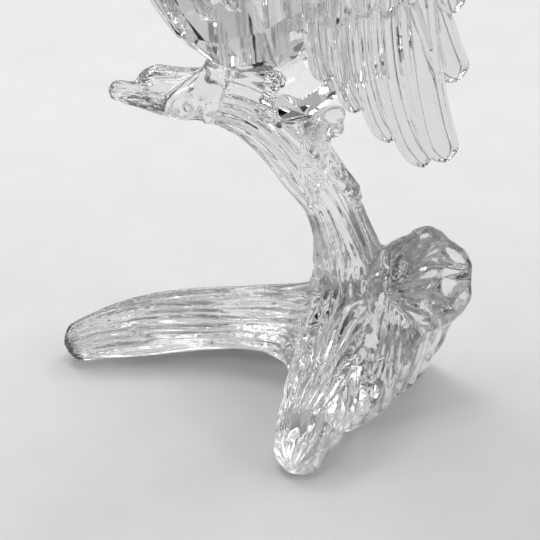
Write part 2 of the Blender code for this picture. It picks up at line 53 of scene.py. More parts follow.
# ---- wood grain: the centre line of each limb (x, y, z, radius) ------------------
LIMBS = {
    "trunk": [(-19.5, 0.5, 64.2, 2.7), (-9.4, 1.0, 62.6, 4.3), (-2.8, 1.2, 60.2, 5.2),
              (3.1, 1.5, 54.3, 5.5), (6.8, 2.0, 48.5, 5.3), (10.3, 2.5, 43.0, 4.7),
              (12.5, 3.0, 37.0, 4.8), (14.0, 4.0, 30.5, 5.7), (14.6, 5.0, 23.0, 6.8),
              (13.5, 5.0, 14.0, 7.4)],
    "left_root": [(14.0, 4.0, 22.0, 6.6), (10.5, 9.0, 14.0, 6.6), (3.5, 14.5, 10.0, 6.2),
                  (-4.0, 17.2, 8.0, 6.0), (-13.5, 18.4, 6.9, 5.7),
                  (-23.0, 17.8, 5.9, 5.5), (-31.0, 16.4, 5.0, 4.7),
                  (-36.6, 15.0, 4.0, 3.5)],
    "front_root": [(14.4, 4.0, 27.0, 5.8), (13.6, 0.5, 21.0, 6.0), (11.8, -3.5, 16.0, 6.0),
                   (9.4, -9.0, 10.2, 6.2), (8.3, -14.0, 6.4, 6.3), (5.3, -21.4, 3.4, 4.7)],
    "stump": [(16.0, 8.0, 9.0, 7.0), (20.5, 6.5, 16.0, 7.6), (24.8, 2.4, 22.4, 8.2),
              (29.0, -2.0, 27.9, 9.3)],
    "prong": [(-15.0, -0.5, 62.2, 2.7), (-19.0, -1.2, 63.2, 2.4),
              (-23.2, -1.4, 64.4, 2.0), (-26.2, -1.4, 65.1, 1.7)]}
GRAIN = {                       # furrow depth, furrows round the limb, sway length, twist
    "trunk": (0.9, 16, 34.0, 0.001), "left_root": (2.2, 20, 24.0, -0.002),
    "front_root": (1.5, 15, 22.0, 0.004), "stump": (0.85, 20, 14.0, 0.0),
    "prong": (0.6, 9, 10.0, 0.01)}
GRAIN_FADE = {                  # down the limb from and to, and the shares of depth there
    "trunk": (6.0, 26.0, 0.3, 1.0), "left_root": (50.0, 60.0, 1.0, 0.4),
    "front_root": (15.0, 24.0, 1.0, 0.4), "stump": (14.0, 21.0, 1.0, 0.15)}
GRAIN_BLEND = 0.45              # width over which one limb's grain turns into the next's
GRAIN_LEAST = 0.03              # limbs with less weight than this are left out
STRAND_SWAY, STRAND_WEAVE = 1.8, 0.5    # how far strands wander, broadly and finely
STRAND_MEAN, STRAND_SWING = 0.72, 0.75  # their depth as a share, and how it varies
STRAND_DEEPEST = 1.3
TOES = [                        # knuckled claws over the branch, with the shank above
    [(-9.3, -1.2, 71.0, 1.5), (-9.6, -2.0, 69.0, 1.7), (-11.0, -3.0, 68.0, 1.4),
     (-12.6, -3.6, 67.2, 1.65), (-14.2, -4.0, 66.1, 1.35), (-15.8, -4.2, 65.0, 1.5),
     (-17.1, -4.4, 63.8, 1.0), (-18.3, -4.1, 62.6, 0.8)],
    [(-9.8, -2.2, 68.6, 1.5), (-11.2, -3.6, 67.3, 1.45), (-12.3, -4.4, 66.0, 1.6),
     (-13.2, -4.8, 64.6, 1.35), (-13.9, -4.8, 63.3, 1.4), (-14.4, -4.4, 62.2, 0.9)],
    [(-9.3, -2.2, 68.6, 1.6), (-9.6, -3.6, 67.4, 1.45), (-9.9, -4.6, 65.8, 1.6),
     (-10.2, -5.0, 64.2, 1.35), (-10.5, -5.0, 62.8, 1.4), (-10.7, -4.5, 61.5, 0.9)]]
KNOBS = [                       # the broken stub and the burrs beside it
    [(7.7, -2.2, 50.0, 2.1), (8.1, -2.8, 53.6, 2.2), (8.6, -2.8, 56.6, 1.9)],
    [(8.0, -3.0, 57.4, 1.4), (9.9, -3.3, 58.4, 1.1), (11.6, -3.0, 58.5, 1.3)],
    [(9.1, -2.2, 60.0, 1.3), (10.5, -2.4, 60.6, 1.0), (11.8, -2.2, 61.0, 1.4)],
    [(11.6, -0.6, 47.6, 1.5), (13.6, -0.2, 45.4, 1.3), (14.9, 0.4, 43.4, 1.5),
     (14.6, 1.2, 40.6, 1.2)],
    [(6.4, -3.2, 49.0, 0.9), (7.4, -3.6, 46.4, 1.1), (7.2, -3.4, 43.6, 0.8)]]
BARK_LINES = [KNOBS[0], [(11.6, 1.0, 47.4, 1.8), (14.6, 1.2, 43.8, 1.7),
                         (14.4, 2.0, 40.4, 1.5)]]    # stub and burr
BARK_HEIGHTS = (36.0, 62.0)
BARK_EDGE = (0.4, 1.2)          # distances over which it fades
BARK_DEPTH, BARK_PITS = 0.5, 0.3
KNOT = (-25.5, 12.2, 7.6)       # on the left root
KNOT_REACH = 3.4
KNOT_RING = 1.15                # spacing of its rings
KNOT_DEPTH = 0.4
TOE_EDGE = (0.1, 0.9)           # distances over which the claws' plainness fades
TOE_MARGIN = 2.0                # how far below them points are tested
STUMP_CENTRE = np.array((29.0, -2.0, 27.9))    # of the cut end
STUMP_FACING = (0.42, -0.72, 0.55)
STUMP_RADIUS = 9.3
STUMP_BACK = (-4.0, -2.4)       # heights off the cut end over which its rim begins
STUMP_OUT = (9.3, 10.8)         # distances from its axis over which the rim ends
FAN_FACING = (0.86, 0.97)       # squareness to the cut end over which the fan comes in
FAN_BACK = (-2.4, -0.9)         # heights off it over which the fan comes in
FAN_OUT = (9.5, 11.0)           # distances from its centre over which the fan fades
FAN_POLE = (-0.92 * STUMP_RADIUS, -0.5)    # where the stump's grooves meet
FAN_UPPER = (3.2, 3.4)          # depth, and grooves for each radian about the pole
FAN_LOWER = (2.8, 2.4)
FAN_START, FAN_GROWTH = 0.4, 8.0    # share of the depth at the pole; growth length
FAN_CHIP = 0.55
WALL_FOOT = np.array((15.5, -10.5, 0.0))   # a point on the sheared side
WALL_FACING = (0.742, -0.506, -0.440)
WALL_DEPTH = (-0.9, -0.3)       # heights off its plane over which the streaks begin
WALL_SQUARE = (0.6, 0.9)        # squareness to it over which they come in
WALL_EDGE, WALL_SLOPE = 17.4, 0.12    # where it begins in the front view
WALL_TOP = (25.0, 29.0)         # heights over which its streaks fade
WALL_LEAN = 0.15                # of the streaks in the front view
STREAKS, FINE_STREAKS = 0.42, 1.05    # for each millimetre
WALL_STEP = [(14.0, 24.0), (16.8, 15.1), (18.9, 8.3), (22.7, 6.2), (23.6, 3.3),
             (26.0, -5.0)]      # corners of its ragged step, in the front view
FRONT = np.array((0.0, -0.866, 0.5))    # the way the front of the roots faces
FRONT_UP = np.array((0.0, 0.5, 0.866))
SWEEP_CENTRE = (9.5, 10.1)      # of the swept strands, in the front view
SWEEP_ALONG = (0.5, 0.866)      # the way they run there
SWEEP_REACH = (12.5, 8.0)       # half their length and half their width
SWEEP_EDGE = (0.65, 1.0)        # shares of that reach over which they fade
SWEEP_FACING = (0.05, 0.4)      # squareness to the front over which they come in
SWEEP_POLE = (1.3, -8.5)        # where they would meet
SWEEP_COUNT = 11.5              # strands for each radian about the pole
SWEEP_DEPTH = 1.8
BACK_GRAIN = 0.35               # share of the grain's depth left on the plainer back
BACK_FROM = (6.0, 12.0)         # how far towards the stump the plainer back begins
BACK_FACING = (-0.35, 0.25)     # squareness to the front over which it ends
SOLE = (0.05, 0.9)              # heights over which the flat underside gives way
VOXEL = 0.28
BASE_TRIANGLES = 192000
SMOOTHING = 5                   # rounds
BIRD_LOWEST = 55.0              # points below this are clear of body and tail
BIRD_REACH = 4.0                # how near them a point is tested
BIRD_NEAR = (0.35, 1.3)         # distances over which the grain comes in
CLEARANCE = 0.15                # how near the bird the base may stay
TIGHT_SMOOTHING = 0.6           # share of the smoothing left close to the bird
FAR = 9.0                       # stands for any distance past the tested ones


def drop(obj):
    bpy.data.objects.remove(obj, do_unlink=True)


def link(name, mesh):
    obj = bpy.data.objects.new(name, mesh)
    bpy.context.scene.collection.objects.link(obj)
    return obj


def evaluated(obj):
    """Bake the modifiers of obj into its mesh."""
    graph = bpy.context.evaluated_depsgraph_get()
    mesh = bpy.data.meshes.new_from_object(obj.evaluated_get(graph))
    obj.modifiers.clear()
    obj.data = mesh
    return obj


def boolean(target, cutter, operation):
    mod = target.modifiers.new(operation.title(), "BOOLEAN")
    mod.operation = operation
    mod.solver = "EXACT"
    mod.object = cutter
    evaluated(target)
    drop(cutter)
    return target


def welded(name, source):
    """A copy of a CAD node as one closed mesh."""
    bm = bmesh.new()
    bm.from_mesh(source.data)
    bmesh.ops.remove_doubles(bm, verts=bm.verts, dist=CAD_WELD)
    bmesh.ops.recalc_face_normals(bm, faces=bm.faces)
    mesh = bpy.data.meshes.new(name)
    bm.to_mesh(mesh)
    bm.free()
    return link(name, mesh)


def shifted(line):
    """Limb points moved from the modelling axes to the object's."""
    return np.hstack([line[:, :3] + SHIFT, line[:, 3:4]])


def join(obj, others):
    """Gather other meshes into obj's."""
    bm = bmesh.new()
    for piece in [obj] + others:
        bm.from_mesh(piece.data)
    bm.to_mesh(obj.data)
    bm.free()
    for piece in others:
        drop(piece)


def unit(vector):
    return np.array(vector, float) / np.linalg.norm(vector)


def smoothstep(low, high, value):
    t = np.clip((value - low) / (high - low), 0, 1)
    return t * t * (3 - 2 * t)


def resample(points, step):
    """Catmull-Rom curve through (x, y, z, r) points."""
    pts = np.array(points, float)
    pts = np.vstack([2 * pts[0] - pts[1], pts, 2 * pts[-1] - pts[-2]])
    out = []
    for i in range(1, len(pts) - 2):
        a, b, c, d = pts[i - 1:i + 3]
        count = max(2, int(np.linalg.norm(c[:3] - b[:3]) / step))
        for t in np.arange(count) / count:
            out.append(0.5 * (2 * b + (c - a) * t + (2 * a - 5 * b + 4 * c - d) * t * t
                              + (3 * b - a - 3 * c + d) * t ** 3))
    out.append(pts[-2])
    return np.array(out)


def side_frames(line):
    """Two side vectors at each point, carried along without twisting."""
    tangent = np.gradient(line[:, :3], axis=0)
    tangent /= np.linalg.norm(tangent, axis=1)[:, None]
    side = np.cross(tangent[0], (0.31, 0.83, 0.46))
    first, second = [], []
    for t in tangent:
        side = side - t * (side @ t)
        side /= np.linalg.norm(side)
        first.append(side)
        second.append(np.cross(t, side))
    return np.array(first), np.array(second)


def limb_coordinates(points, table):
    """For each point: distance off the limb's skin, way round it, and length down it."""
    line = resample(table, LINE_STEP)
    first, second = side_frames(line)
    a, run = line[:-1], np.diff(line, axis=0)
    arc = np.concatenate([[0], np.cumsum(np.linalg.norm(run[:, :3], axis=1))])
    rel = points[:, None, :] - a[None, :, :3]
    t = (rel * run[:, :3]).sum(2) / (run[:, :3] ** 2).sum(1)
    inside = np.clip(t, 0, 1)
    off = rel - inside[..., None] * run[:, :3]
    size = np.linalg.norm(off, axis=2)
    dist = size - (a[:, 3] + inside * run[:, 3])
    best = dist.argmin(1)
    rows = np.arange(len(points))
    off, share = off[rows, best], inside[rows, best]
    across = (1 - share)[:, None] * first[best] + share[:, None] * first[best + 1]
    up = (1 - share)[:, None] * second[best] + share[:, None] * second[best + 1]
    u, v = (off * across).sum(1), (off * up).sum(1)
    spread = np.maximum(np.hypot(u, v), 1e-6)
    down = arc[best] + share * (arc[best + 1] - arc[best])
    return dist[rows, best], u / spread, v / spread, down


def strands(u, v, down, count, length, twist, seed):
    """Depth of the valleys between the rounded wood strands, from 0 to about 1."""
    around = np.arctan2(v, u) + 2 * math.pi * twist * down
    out = np.empty(len(u))
    for n in range(len(u)):
        s = down[n] / length
        x, y = u[n], v[n]
        sway = noise.noise((0.7 * x + seed, 0.7 * y, s))
        weave = noise.noise((1.5 * x, 1.5 * y + seed, 2.1 * s))
        phase = 0.5 * count * around[n] + STRAND_SWAY * sway + STRAND_WEAVE * weave
        swing = noise.noise((1.4 * x, 1.4 * y, 1.3 * s + seed))
        deep = STRAND_MEAN + STRAND_SWING * swing
        out[n] = deep * 0.5 * (1 + math.cos(2 * phase))
    return np.clip(out, 0, STRAND_DEEPEST)


def faded(name, depth, down):
    """Depth of a limb's grain at each length down it."""
    if name not in GRAIN_FADE:
        return depth
    low, high, first, last = GRAIN_FADE[name]
    return depth * (first + (last - first) * smoothstep(low, high, down))


def wood_grain(points):
    """Depth that the grain is cut to at each point, in millimetres."""
    spots = {name: limb_coordinates(points, table) for name, table in LIMBS.items()}
    nearest = np.min([spot[0] for spot in spots.values()], axis=0)
    total = np.zeros(len(points))
    weights = np.zeros(len(points))
    for n, (name, (dist, u, v, down)) in enumerate(spots.items()):
        depth, count, length, twist = GRAIN[name]
        weight = np.exp((nearest - dist) / GRAIN_BLEND)
        near = weight > GRAIN_LEAST
        cut = strands(u[near], v[near], down[near], count, length, twist, 7.3 * n)
        total[near] += weight[near] * faded(name, depth, down[near]) * cut
        weights[near] += weight[near]
    return total / weights


def knot(points):
    """Where the knot is, and the depth of its rings."""
    away = np.linalg.norm(points - np.array(KNOT), axis=1)
    rings = np.array([abs(noise.noise((d / KNOT_RING, 0.35 * p[0], 0.35 * p[1])))
                      for d, p in zip(away, points)])
    on_knot = np.exp(-(away / KNOT_REACH) ** 2)
    return on_knot, KNOT_DEPTH * (1 - np.minimum(1, 2.3 * rings))


def saw(value):
    """Straight-sided wave between 0 and 1, one ridge for each whole number."""
    return 2 * abs(value - math.floor(value + 0.5))


def valley(turns):
    """1 in the valley at each whole number, 0 on the ridge between."""
    return 0.5 * (1 + math.cos(2 * math.pi * turns))


def front_view(points, normals):
    """Sideways and upward coordinates over the front of the roots, and how squarely
    each point faces there."""
    return points[:, 0], points @ FRONT_UP, normals @ FRONT


def root_sweep(points, normals):
    """Bold strands that lean out of the buttress and gather down the front root."""
    side, up, facing = front_view(points, normals)
    a, b = side - SWEEP_CENTRE[0], up - SWEEP_CENTRE[1]
    along = SWEEP_ALONG[0] * a + SWEEP_ALONG[1] * b
    across = SWEEP_ALONG[1] * a - SWEEP_ALONG[0] * b
    away = np.hypot(along / SWEEP_REACH[0], across / SWEEP_REACH[1])
    on_sweep = (1 - smoothstep(*SWEEP_EDGE, away)) * smoothstep(*SWEEP_FACING, facing)
    turn = np.arctan2(up - SWEEP_POLE[1], side - SWEEP_POLE[0])
    cut = np.zeros(len(points))
    for n in np.flatnonzero(on_sweep > 0.01):
        sway = noise.noise((0.14 * a[n], 0.14 * b[n], 1.0))
        deep = 0.85 + 0.7 * noise.noise((0.16 * along[n], 0.5 * across[n], 6.0))
        cut[n] = SWEEP_DEPTH * deep * valley(SWEEP_COUNT * turn[n] + 0.7 * sway)
    return on_sweep, cut


def stump_fan(points, normals):
    """Grooves fanning over the stump's cut end from the side by the trunk."""
    facing = unit(STUMP_FACING)
    rel = points - STUMP_CENTRE
    across = unit(np.cross((0, 0, 1), facing))
    up = np.cross(facing, across)
    a, b = rel @ across, rel @ up
    on_face = smoothstep(*FAN_FACING, normals @ facing)
    on_face *= smoothstep(*FAN_BACK, rel @ facing)
    on_face *= 1 - smoothstep(*FAN_OUT, np.hypot(a, b))
    turn = np.arctan2(b - FAN_POLE[1], a - FAN_POLE[0])
    reach = np.hypot(b - FAN_POLE[1], a - FAN_POLE[0])
    cut = np.zeros(len(points))
    for n in np.flatnonzero(on_face > 0.01):
        sway = noise.noise((0.09 * reach[n], 1.1 * turn[n], 4.0))
        kink = noise.noise((0.2 * a[n], 0.2 * b[n], 1.0))
        if turn[n] > 0:
            depth, count = FAN_UPPER
            groove = valley(count * turn[n] + 0.7 * sway)
        else:
            depth, count = FAN_LOWER
            groove = saw(count * turn[n] + 0.5 * sway + 0.25 * kink)
        chip = saw(0.15 * reach[n] + 0.8 * turn[n] + 0.7 * kink)
        size = min(1.0, FAN_START + reach[n] / FAN_GROWTH)
        cut[n] = size * depth * groove + FAN_CHIP * chip
    return on_face, cut


def on_stump_rim(points):
    """1 round the edge of the stump's cut end."""
    rel = points - STUMP_CENTRE
    back = rel @ unit(STUMP_FACING)
    spread = np.linalg.norm(rel - back[:, None] * unit(STUMP_FACING), axis=1)
    return smoothstep(*STUMP_BACK, back) * (1 - smoothstep(*STUMP_OUT, spread))


def wall_chips(points, normals):
    """Upright streaks and one ragged step across the sheared side of the roots."""
    wall = unit(WALL_FACING)
    height = (points - WALL_FOOT) @ wall
    sheared = smoothstep(*WALL_DEPTH, height) * smoothstep(*WALL_SQUARE, normals @ wall)
    side, up, facing = front_view(points, normals)
    beside = smoothstep(-0.8, 0.8, side - WALL_EDGE - WALL_SLOPE * up)
    beside *= smoothstep(0.0, 0.3, facing)
    on_wall = np.maximum(sheared, beside) * (1 - on_stump_rim(points))
    on_wall *= 1 - smoothstep(*WALL_TOP, points[:, 2])
    edge = np.interp(side, [p[0] for p in WALL_STEP], [p[1] for p in WALL_STEP])
    cut = np.zeros(len(points))
    for n in np.flatnonzero(on_wall > 0.01):
        x, h = side[n] - WALL_LEAN * up[n], up[n]
        ragged = saw(0.5 * x + 0.5 * noise.noise((0.4 * x, 0.0, 3.0)))
        step = smoothstep(-0.2, 0.2, edge[n] + 0.9 * ragged - h)
        streak = valley(STREAKS * x + 0.9 * noise.noise((0.2 * x, 0.07 * h, 2.0)))
        fine = valley(FINE_STREAKS * x + 0.8 * noise.noise((0.3 * x, 0.12 * h, 8.0)))
        below, above = 0.55 + 0.45 * streak, 0.65 * streak + 0.15 * fine
        cut[n] = step * below + (1 - step) * above
    return on_wall, cut


def bark(points):
    """Rough cross-grained bark on the broken stub and the burr beside it."""
    near = np.full(len(points), FAR)
    some = (points[:, 2] > BARK_HEIGHTS[0]) & (points[:, 2] < BARK_HEIGHTS[1])
    for line in BARK_LINES:
        near[some] = np.minimum(near[some], limb_coordinates(points[some], line)[0])
    on_bark = 1 - smoothstep(*BARK_EDGE, near)
    cut = np.zeros(len(points))
    for n in np.flatnonzero(on_bark > 0.01):
        x, y, z = points[n]
        sway = noise.noise((0.35 * x, 0.35 * y, 0.35 * z))
        cut[n] = BARK_DEPTH * valley(0.42 * z + 0.25 * x + 1.4 * sway)
        cut[n] += BARK_PITS * abs(noise.noise((0.9 * x, 0.9 * y, 0.5 * z + 4.0)))
    return on_bark, cut


def toe_mask(points):
    """1 on the claws and burrs, where no grain runs."""
    near = np.full(len(points), FAR)
    for line in TOES + KNOBS[1:3]:
        low = min(p[2] - p[3] for p in line) - TOE_MARGIN
        some = points[:, 2] > low
        near[some] = np.minimum(near[some], limb_coordinates(points[some], line)[0])
    return 1 - smoothstep(*TOE_EDGE, near)


def carving(points, normals):
    """Depth of everything that is cut into the base, in millimetres."""
    depth = wood_grain(points)
    for mask, cut in (knot(points), root_sweep(points, normals), bark(points),
                      wall_chips(points, normals), stump_fan(points, normals),
                      (toe_mask(points), 0.0)):
        depth = depth * (1 - mask) + cut * mask
    return depth


def plainness(points, normals):
    """Share of the carving left at each point: none underneath, less at the back."""
    lift = smoothstep(*SOLE, points[:, 2])
    plainer = (1 - BACK_GRAIN) * smoothstep(*BACK_FROM, points[:, 0])
    return lift * (1 - plainer * (1 - smoothstep(*BACK_FACING, normals @ FRONT)))


def mesh_values(mesh, name):
    """The coordinates or normals of every vertex, one row each."""
    out = np.empty(len(mesh.vertices) * 3)
    mesh.vertices.foreach_get(name, out)
    return out.reshape(-1, 3)


def set_spots(mesh, spots):
    mesh.vertices.foreach_set("co", spots.ravel())
    mesh.update()


def bird_trees():
    """The bird's solids, ready for distances to them."""
    graph = bpy.context.evaluated_depsgraph_get()
    return [BVHTree.FromObject(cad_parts[node], graph) for node in BIRD]


def room_to_bird(spots, trees):
    """Distance from each point to the body or tail, in millimetres."""
    room = np.full(len(spots), FAR)
    for n in np.flatnonzero(spots[:, 2] >= BIRD_LOWEST * MM):
        for tree in trees:
            hit, _, _, distance = tree.find_nearest(Vector(spots[n]), BIRD_REACH * MM)
            if hit is not None:
                room[n] = min(room[n], distance / MM)
    return room


def even_out(mesh, spots, free):
    """Smooth the voxel steps away, each point only as far as free lets it."""
    count = len(spots)
    edges = np.empty(len(mesh.edges) * 2, int)
    mesh.edges.foreach_get("vertices", edges)
    edges = edges.reshape(-1, 2)
    degree = np.bincount(edges.ravel(), minlength=count)
    for _ in range(SMOOTHING):
        mean = np.zeros((count, 3))
        for k in range(3):
            mean[:, k] = (np.bincount(edges[:, 0], spots[edges[:, 1], k], count)
                          + np.bincount(edges[:, 1], spots[edges[:, 0], k], count))
        spots += 0.5 * free[:, None] * (mean / degree[:, None] - spots)
    set_spots(mesh, spots)


def push_clear(spots, room, trees):
    """Move points that come too close to the bird, or into it, just off its faces."""
    for n in np.flatnonzero(room < BIRD_REACH):
        for tree in trees:
            spot = Vector(spots[n])
            hit, normal, _, _ = tree.find_nearest(spot, BIRD_REACH * MM)
            if hit is not None and (spot - hit).dot(normal) < CLEARANCE * MM:
                spots[n] = hit + normal * CLEARANCE * MM


def fine_form():
    """The CAD's base with its claws and burrs, as one fine even mesh."""
    base = welded("crystal_base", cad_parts["branch_base"])
    extras = [round_tube("burr", shifted(resample(line, 0.5))) for line in TOES + KNOBS]
    join(base, extras)
    remesh = base.modifiers.new("Remesh", "REMESH")
    remesh.mode = "VOXEL"
    remesh.voxel_size = VOXEL * MM
    return evaluated(base)


def carve_base():
    """The moulded base at full fineness, its grain cut into the CAD's own form."""
    base = fine_form()
    trees = bird_trees()
    spots = mesh_values(base.data, "co")
    room = room_to_bird(spots, trees)
    clear = smoothstep(*BIRD_NEAR, room)
    free = TIGHT_SMOOTHING + (1 - TIGHT_SMOOTHING) * clear
    even_out(base.data, spots, free * smoothstep(*SOLE, spots[:, 2] / MM))
    normals = mesh_values(base.data, "normal")
    points = spots / MM - SHIFT
    depth = carving(points, normals) * clear * plainness(points, normals)
    spots -= normals * (depth * MM)[:, None]
    push_clear(spots, room, trees)
    set_spots(base.data, spots)
    thinning = base.modifiers.new("Thinning", "DECIMATE")
    thinning.ratio = BASE_TRIANGLES / (2 * len(base.data.polygons))
    evaluated(base)
    for vert in base.data.vertices:
        vert.co.z = max(vert.co.z, 0.0)
    base.data.shade_smooth()
    return base


# ---- wings ----------------------------------------------------------------------
BODY_CENTRE = (-7.8, 0.0, 93.4)
BIRD_TURN = 24.0                # degrees about the vertical
WING_ROOT = (9.6, -15.2)        # in the bird's own axes
WING_SWEEP = -6.0
QUILL_TOP = 92.0
QUILL_HALF = 1.35               # half thickness of a long feather
QUILL_STAGGER = 0.12            # how much further in each long feather lies
QUILL_TRIM = 0.6                # taken off each width in QUILLS
RIM = 1.6                       # width of the bead round a feather
BEAD_FOOT = 0.12                # thickness at a feather's edge, as a share of the bead's
PANELS = {"near_wing": 0.48, "far_wing": 0.85}    # the same share inside the bead
PANEL_START, PANEL_CROWN = 1.15, 1.08    # where it begins, in beads; swell at its middle
BEAD_TURNS = (0, 25, 50, 75, 100, 125, 147)    # degrees round the bead
TIP_CROWDING = 1.6              # how much closer a feather's rings lie at its tip
TIP_THICKNESS = 0.6
BLUNT = 0.02                    # squared share of the width left at the very tip
BEND_HEIGHT = 0.32              # of a long feather, as a share of the way up
QUILLS = [                      # sweep at root, bend and tip; tip height; width; taper
    (0.0, -0.2, 2.2, 70.7, 4.5, 1.2), (4.2, 3.7, 7.9, 64.1, 4.6, 1.5),
    (8.2, 7.6, 14.3, 57.5, 5.0, 1.5), (12.6, 12.4, 21.0, 51.6, 5.8, 1.5),
    (17.8, 19.8, 25.1, 51.9, 7.2, 1.0), (17.6, 22.6, 26.5, 67.2, 7.2, 0.7)]
COVERT_TAPER = 1.5              # widths over which a feather's leading side narrows
COVERT_ROWS = [                 # length, half thickness; each tip's sweep, height, width
    (11.0, 1.55, [(-2.4, 80.3, 4.6), (3.6, 80.4, 6.4), (8.4, 82.0, 5.2),
                  (12.6, 82.0, 4.8), (16.6, 82.6, 5.0), (20.6, 83.4, 5.0),
                  (24.8, 80.2, 5.6)]),
    (10.0, 2.0, [(-5.2, 88.0, 5.6), (0.2, 88.6, 6.4), (6.0, 89.2, 6.2),
                 (11.4, 89.6, 5.8), (16.6, 89.4, 5.8), (21.6, 87.6, 5.6)]),
    (9.0, 2.35, [(-6.0, 94.6, 6.4), (0.4, 96.6, 6.8), (6.8, 97.4, 6.8),
                (13.0, 96.6, 6.6), (18.4, 93.6, 6.2)])]
COVERT_SLANT = 0.22             # sweep for each millimetre of length, at the row's end
COVERT_FIRST = 0.3              # share of that slant at the row's first feather
COVERT_BEND = (0.7, 0.4)        # back from the tip, as shares of its sweep and length
COVERT_OVERLAP = 0.75           # extra width, to reach under the next one
COVERT_STAGGER = 0.1
WING_ARM = [                    # sweep, height and radius along its leading edge
    (-13.0, 96.0, 3.0), (-10.5, 102.0, 3.8), (-4.5, 106.4, 4.1), (3.5, 108.4, 4.0),
    (11.5, 107.2, 3.7), (18.0, 103.0, 3.2), (22.6, 96.4, 2.6), (25.2, 89.6, 2.0)]
QUILL_RINGS, COVERT_RINGS = 18, 10
SMOOTH_ANGLE = 40.0             # facets meeting closer than this shade as one


def wing_point(sweep, height, off):
    """Wing coordinates to the bird's own axes; off is outward from the body."""
    a = math.radians(WING_SWEEP)
    x = WING_ROOT[0] + sweep * math.cos(a) + off * math.sin(a)
    y = WING_ROOT[1] + sweep * math.sin(a) - off * math.cos(a)
    return (x, y, height - BODY_CENTRE[2])


def section(left, right, rim, depth, panel):
    """Half outline of a feather: a round bead along each edge of a thinner panel."""
    bead = []
    for degrees in BEAD_TURNS:
        turn = math.radians(degrees)
        bead.append((0.5 * rim * (1 - math.cos(turn)),
                     depth * (BEAD_FOOT + (1 - BEAD_FOOT) * math.sin(turn))))
    bead.append((PANEL_START * rim, panel * depth))
    middle = (0.5 * (right - left), PANEL_CROWN * panel * depth)
    return ([(u - left, v) for u, v in bead] + [middle]
            + [(right - u, v) for u, v in bead[::-1]])


def rounding(s, reach):
    """Share of a feather's width at s from its tip, where a side rounds over reach."""
    return math.sqrt(max(BLUNT, 1 - max(0, 1 - s / reach) ** 2))


def blade(root, bend, tip, width, taper, half, off, rings, panel):
    """Feather: a bevelled blade along a curve, its tip swept outward."""
    verts, faces = [], []
    length = (Vector(tip) - Vector(root)).length
    for i in range(rings + 1):
        t = 1 - (1 - i / rings) ** TIP_CROWDING
        s = (1 - t) * length
        left = 0.5 * width * rounding(s, taper * width)
        right = 0.5 * width * rounding(s, 0.5 * width)
        c = [(1 - t) ** 2 * root[k] + 2 * t * (1 - t) * bend[k] + t * t * tip[k]
             for k in (0, 1)]
        d = Vector([(1 - t) * (bend[k] - root[k]) + t * (tip[k] - bend[k])
                    for k in (0, 1)]).normalized()
        across = Vector((-d[1], d[0]))
        depth = half * (TIP_THICKNESS + (1 - TIP_THICKNESS) * min(1.0, s / width))
        upper = section(left, right, min(RIM, 0.7 * min(left, right)), depth, panel)
        outline = upper + [(u, -v) for u, v in upper[::-1]]
        for u, v in outline:
            verts.append(wing_point(c[0] + across[0] * u, c[1] + across[1] * u, off + v))
    size = len(outline)
    for i in range(rings):
        for k in range(size):
            a, b = size * i + k, size * i + (k + 1) % size
            faces.append((a, b, b + size, a + size))
    faces.append(tuple(range(size - 1, -1, -1)))
    faces.append(tuple(range(size * rings, size * rings + size)))
    return verts, faces


def wing_blades(panel):
    """Every feather of one wing, long ones first."""
    out = []
    for n, (root, bend, tip, height, width, taper) in enumerate(QUILLS):
        bend_height = height + BEND_HEIGHT * (QUILL_TOP - height)
        out.append(blade((root, QUILL_TOP), (bend, bend_height), (tip, height),
                         width - QUILL_TRIM, taper, QUILL_HALF, -QUILL_STAGGER * n,
                         QUILL_RINGS, panel))
    for length, half, row in COVERT_ROWS:
        for n, (tip, height, width) in enumerate(row):
            slant = COVERT_FIRST + (1 - COVERT_FIRST) * n / len(row)
            lean = COVERT_SLANT * length * slant
            bend = (tip - COVERT_BEND[0] * lean, height + COVERT_BEND[1] * length)
            out.append(blade((tip - lean, height + length), bend, (tip, height),
                             width + COVERT_OVERLAP, COVERT_TAPER, half,
                             COVERT_STAGGER * (n % 3), COVERT_RINGS, panel))
    return out


def tidy_mesh(obj, distance):
    """Weld, drop slivers, split into triangles and point every face outward."""
    bm = bmesh.new()
    bm.from_mesh(obj.data)
    bmesh.ops.remove_doubles(bm, verts=bm.verts, dist=distance * MM)
    bmesh.ops.dissolve_degenerate(bm, dist=distance * MM, edges=bm.edges)
    bmesh.ops.triangulate(bm, faces=bm.faces)
    bmesh.ops.recalc_face_normals(bm, faces=bm.faces)
    bm.to_mesh(obj.data)
    bm.free()
    return obj


def round_tube(name, line):
    """A round-ended tube along (x, y, z, r) points."""
    curve = bpy.data.curves.new(name, "CURVE")
    curve.dimensions = "3D"
    curve.bevel_depth = MM
    curve.bevel_resolution = 6
    curve.use_fill_caps = True
    ends = []
    for start, toward in ((line[0], line[1]), (line[-1], line[-2])):
        out = unit(start[:3] - toward[:3])
        ends.append([np.append(start[:3] + out * start[3] * math.sqrt(1 - c * c),
                               start[3] * c) for c in CAP_RINGS])
    line = np.vstack([ends[0], line, ends[1][::-1]])
    spline = curve.splines.new("POLY")
    spline.points.add(len(line) - 1)
    for point, (x, y, z, radius) in zip(spline.points, line):
        point.co = (x * MM, y * MM, z * MM, 1.0)
        point.radius = radius
    made = link(name, curve)
    graph = bpy.context.evaluated_depsgraph_get()
    mesh = bpy.data.meshes.new_from_object(made.evaluated_get(graph))
    drop(made)
    return tidy_mesh(link(name, mesh), WELD)


def grown_body():
    """The bird's body swollen by the clearance, to cut the wings back with."""
    room = welded("body_room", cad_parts["body"])
    for vert in room.data.vertices:
        vert.co += vert.normal * GAP * MM
    return room


